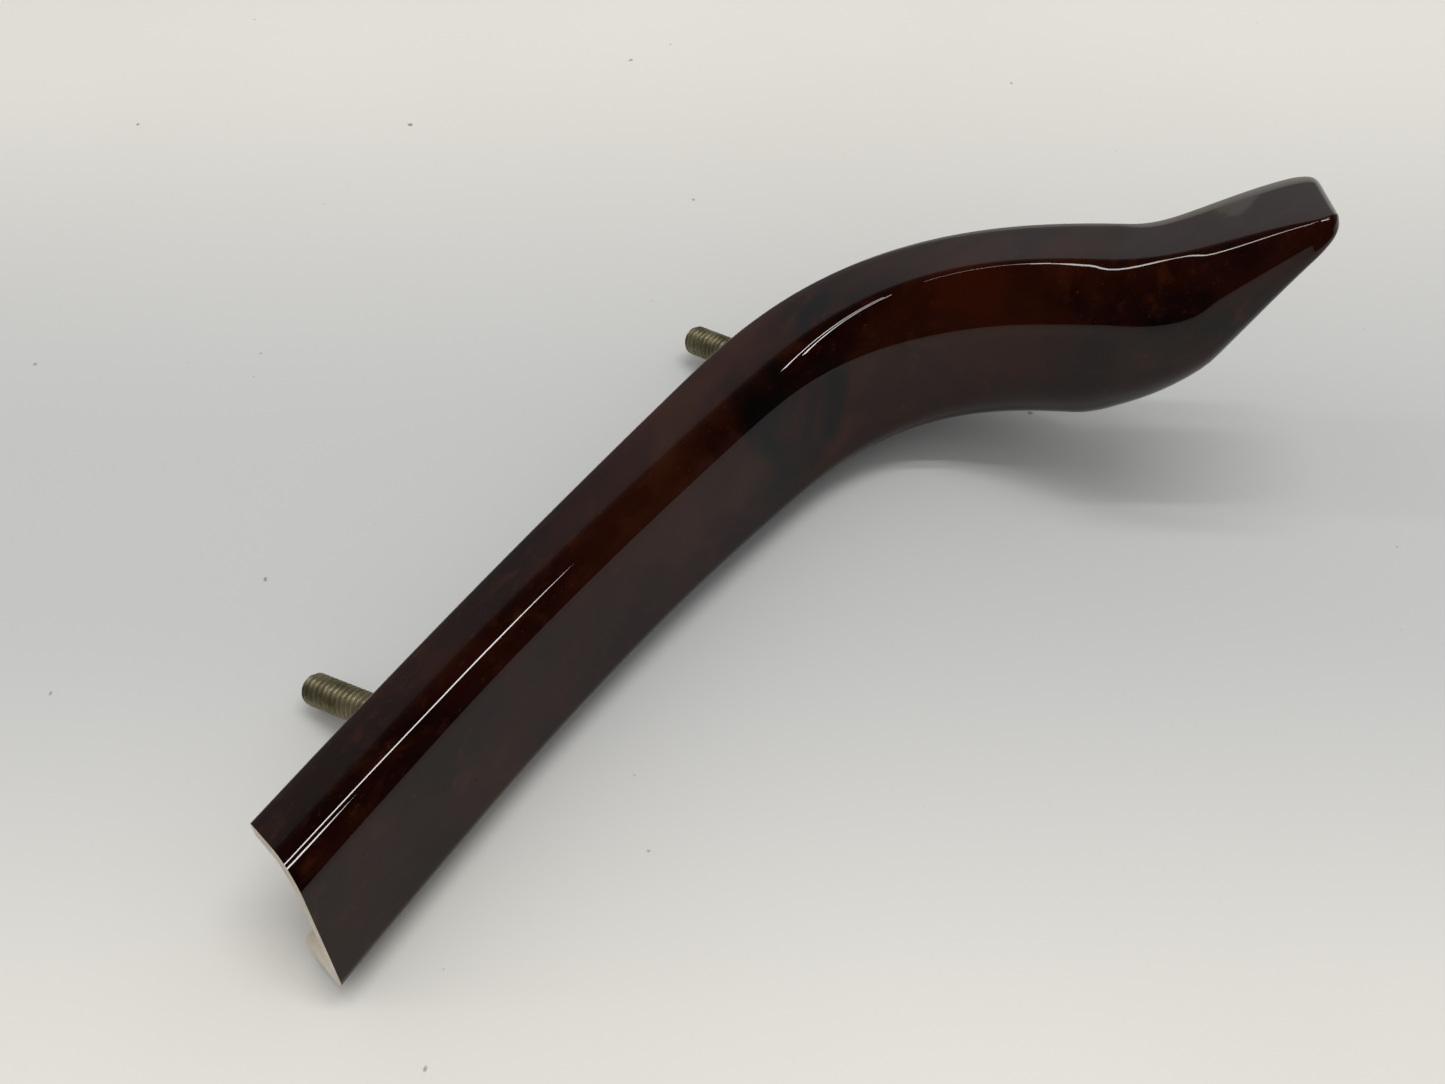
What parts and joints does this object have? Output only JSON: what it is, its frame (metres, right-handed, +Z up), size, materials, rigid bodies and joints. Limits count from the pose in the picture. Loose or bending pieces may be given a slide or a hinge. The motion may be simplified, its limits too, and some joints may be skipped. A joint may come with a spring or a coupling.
{
  "type": "grab rail",
  "caption": "Moulded burl-finish grab rail: open-backed channel that swan-necks into a fuller grip with a flat flared tip, carried by a bent bar and threaded studs.",
  "frame": {"origin": "where the left stud's axis meets the mounting rim", "axes": "+X along the straight run from the open cut end to the tip, +Y towards the panel it is mounted on, +Z up as the rail rests on a flat surface; the mounting studs dip 19 degrees below +Y"},
  "size_m": [0.2022, 0.1233, 0.0716],
  "materials": {
    "lacquered_shell": "dark reddish burl print under a high-gloss clear coat",
    "moulded_black": "fine textured moulded plastic",
    "moulded_resin": "matt cast resin",
    "olive_zinc": "dull olive-yellow zinc plating",
    "plated_steel": "clear zinc plated steel",
    "black_screws": "black oxide"
  },
  "bodies": {
    "root": {"rail_shell": "lacquered_shell", "grip_back_cover": "moulded_black", "stiffener_bar": "plated_steel", "left_anchor_block": "moulded_resin", "right_anchor_block": "moulded_resin", "grip_anchor_block": "moulded_resin", "left_stud": "olive_zinc", "right_stud": "olive_zinc", "stud_washers": "plated_steel", "stud_lock_nuts": "olive_zinc", "bar_screws": "plated_steel", "cover_screws": "black_screws", "cover_spacers": "plated_steel"}
  },
  "joints": []
}
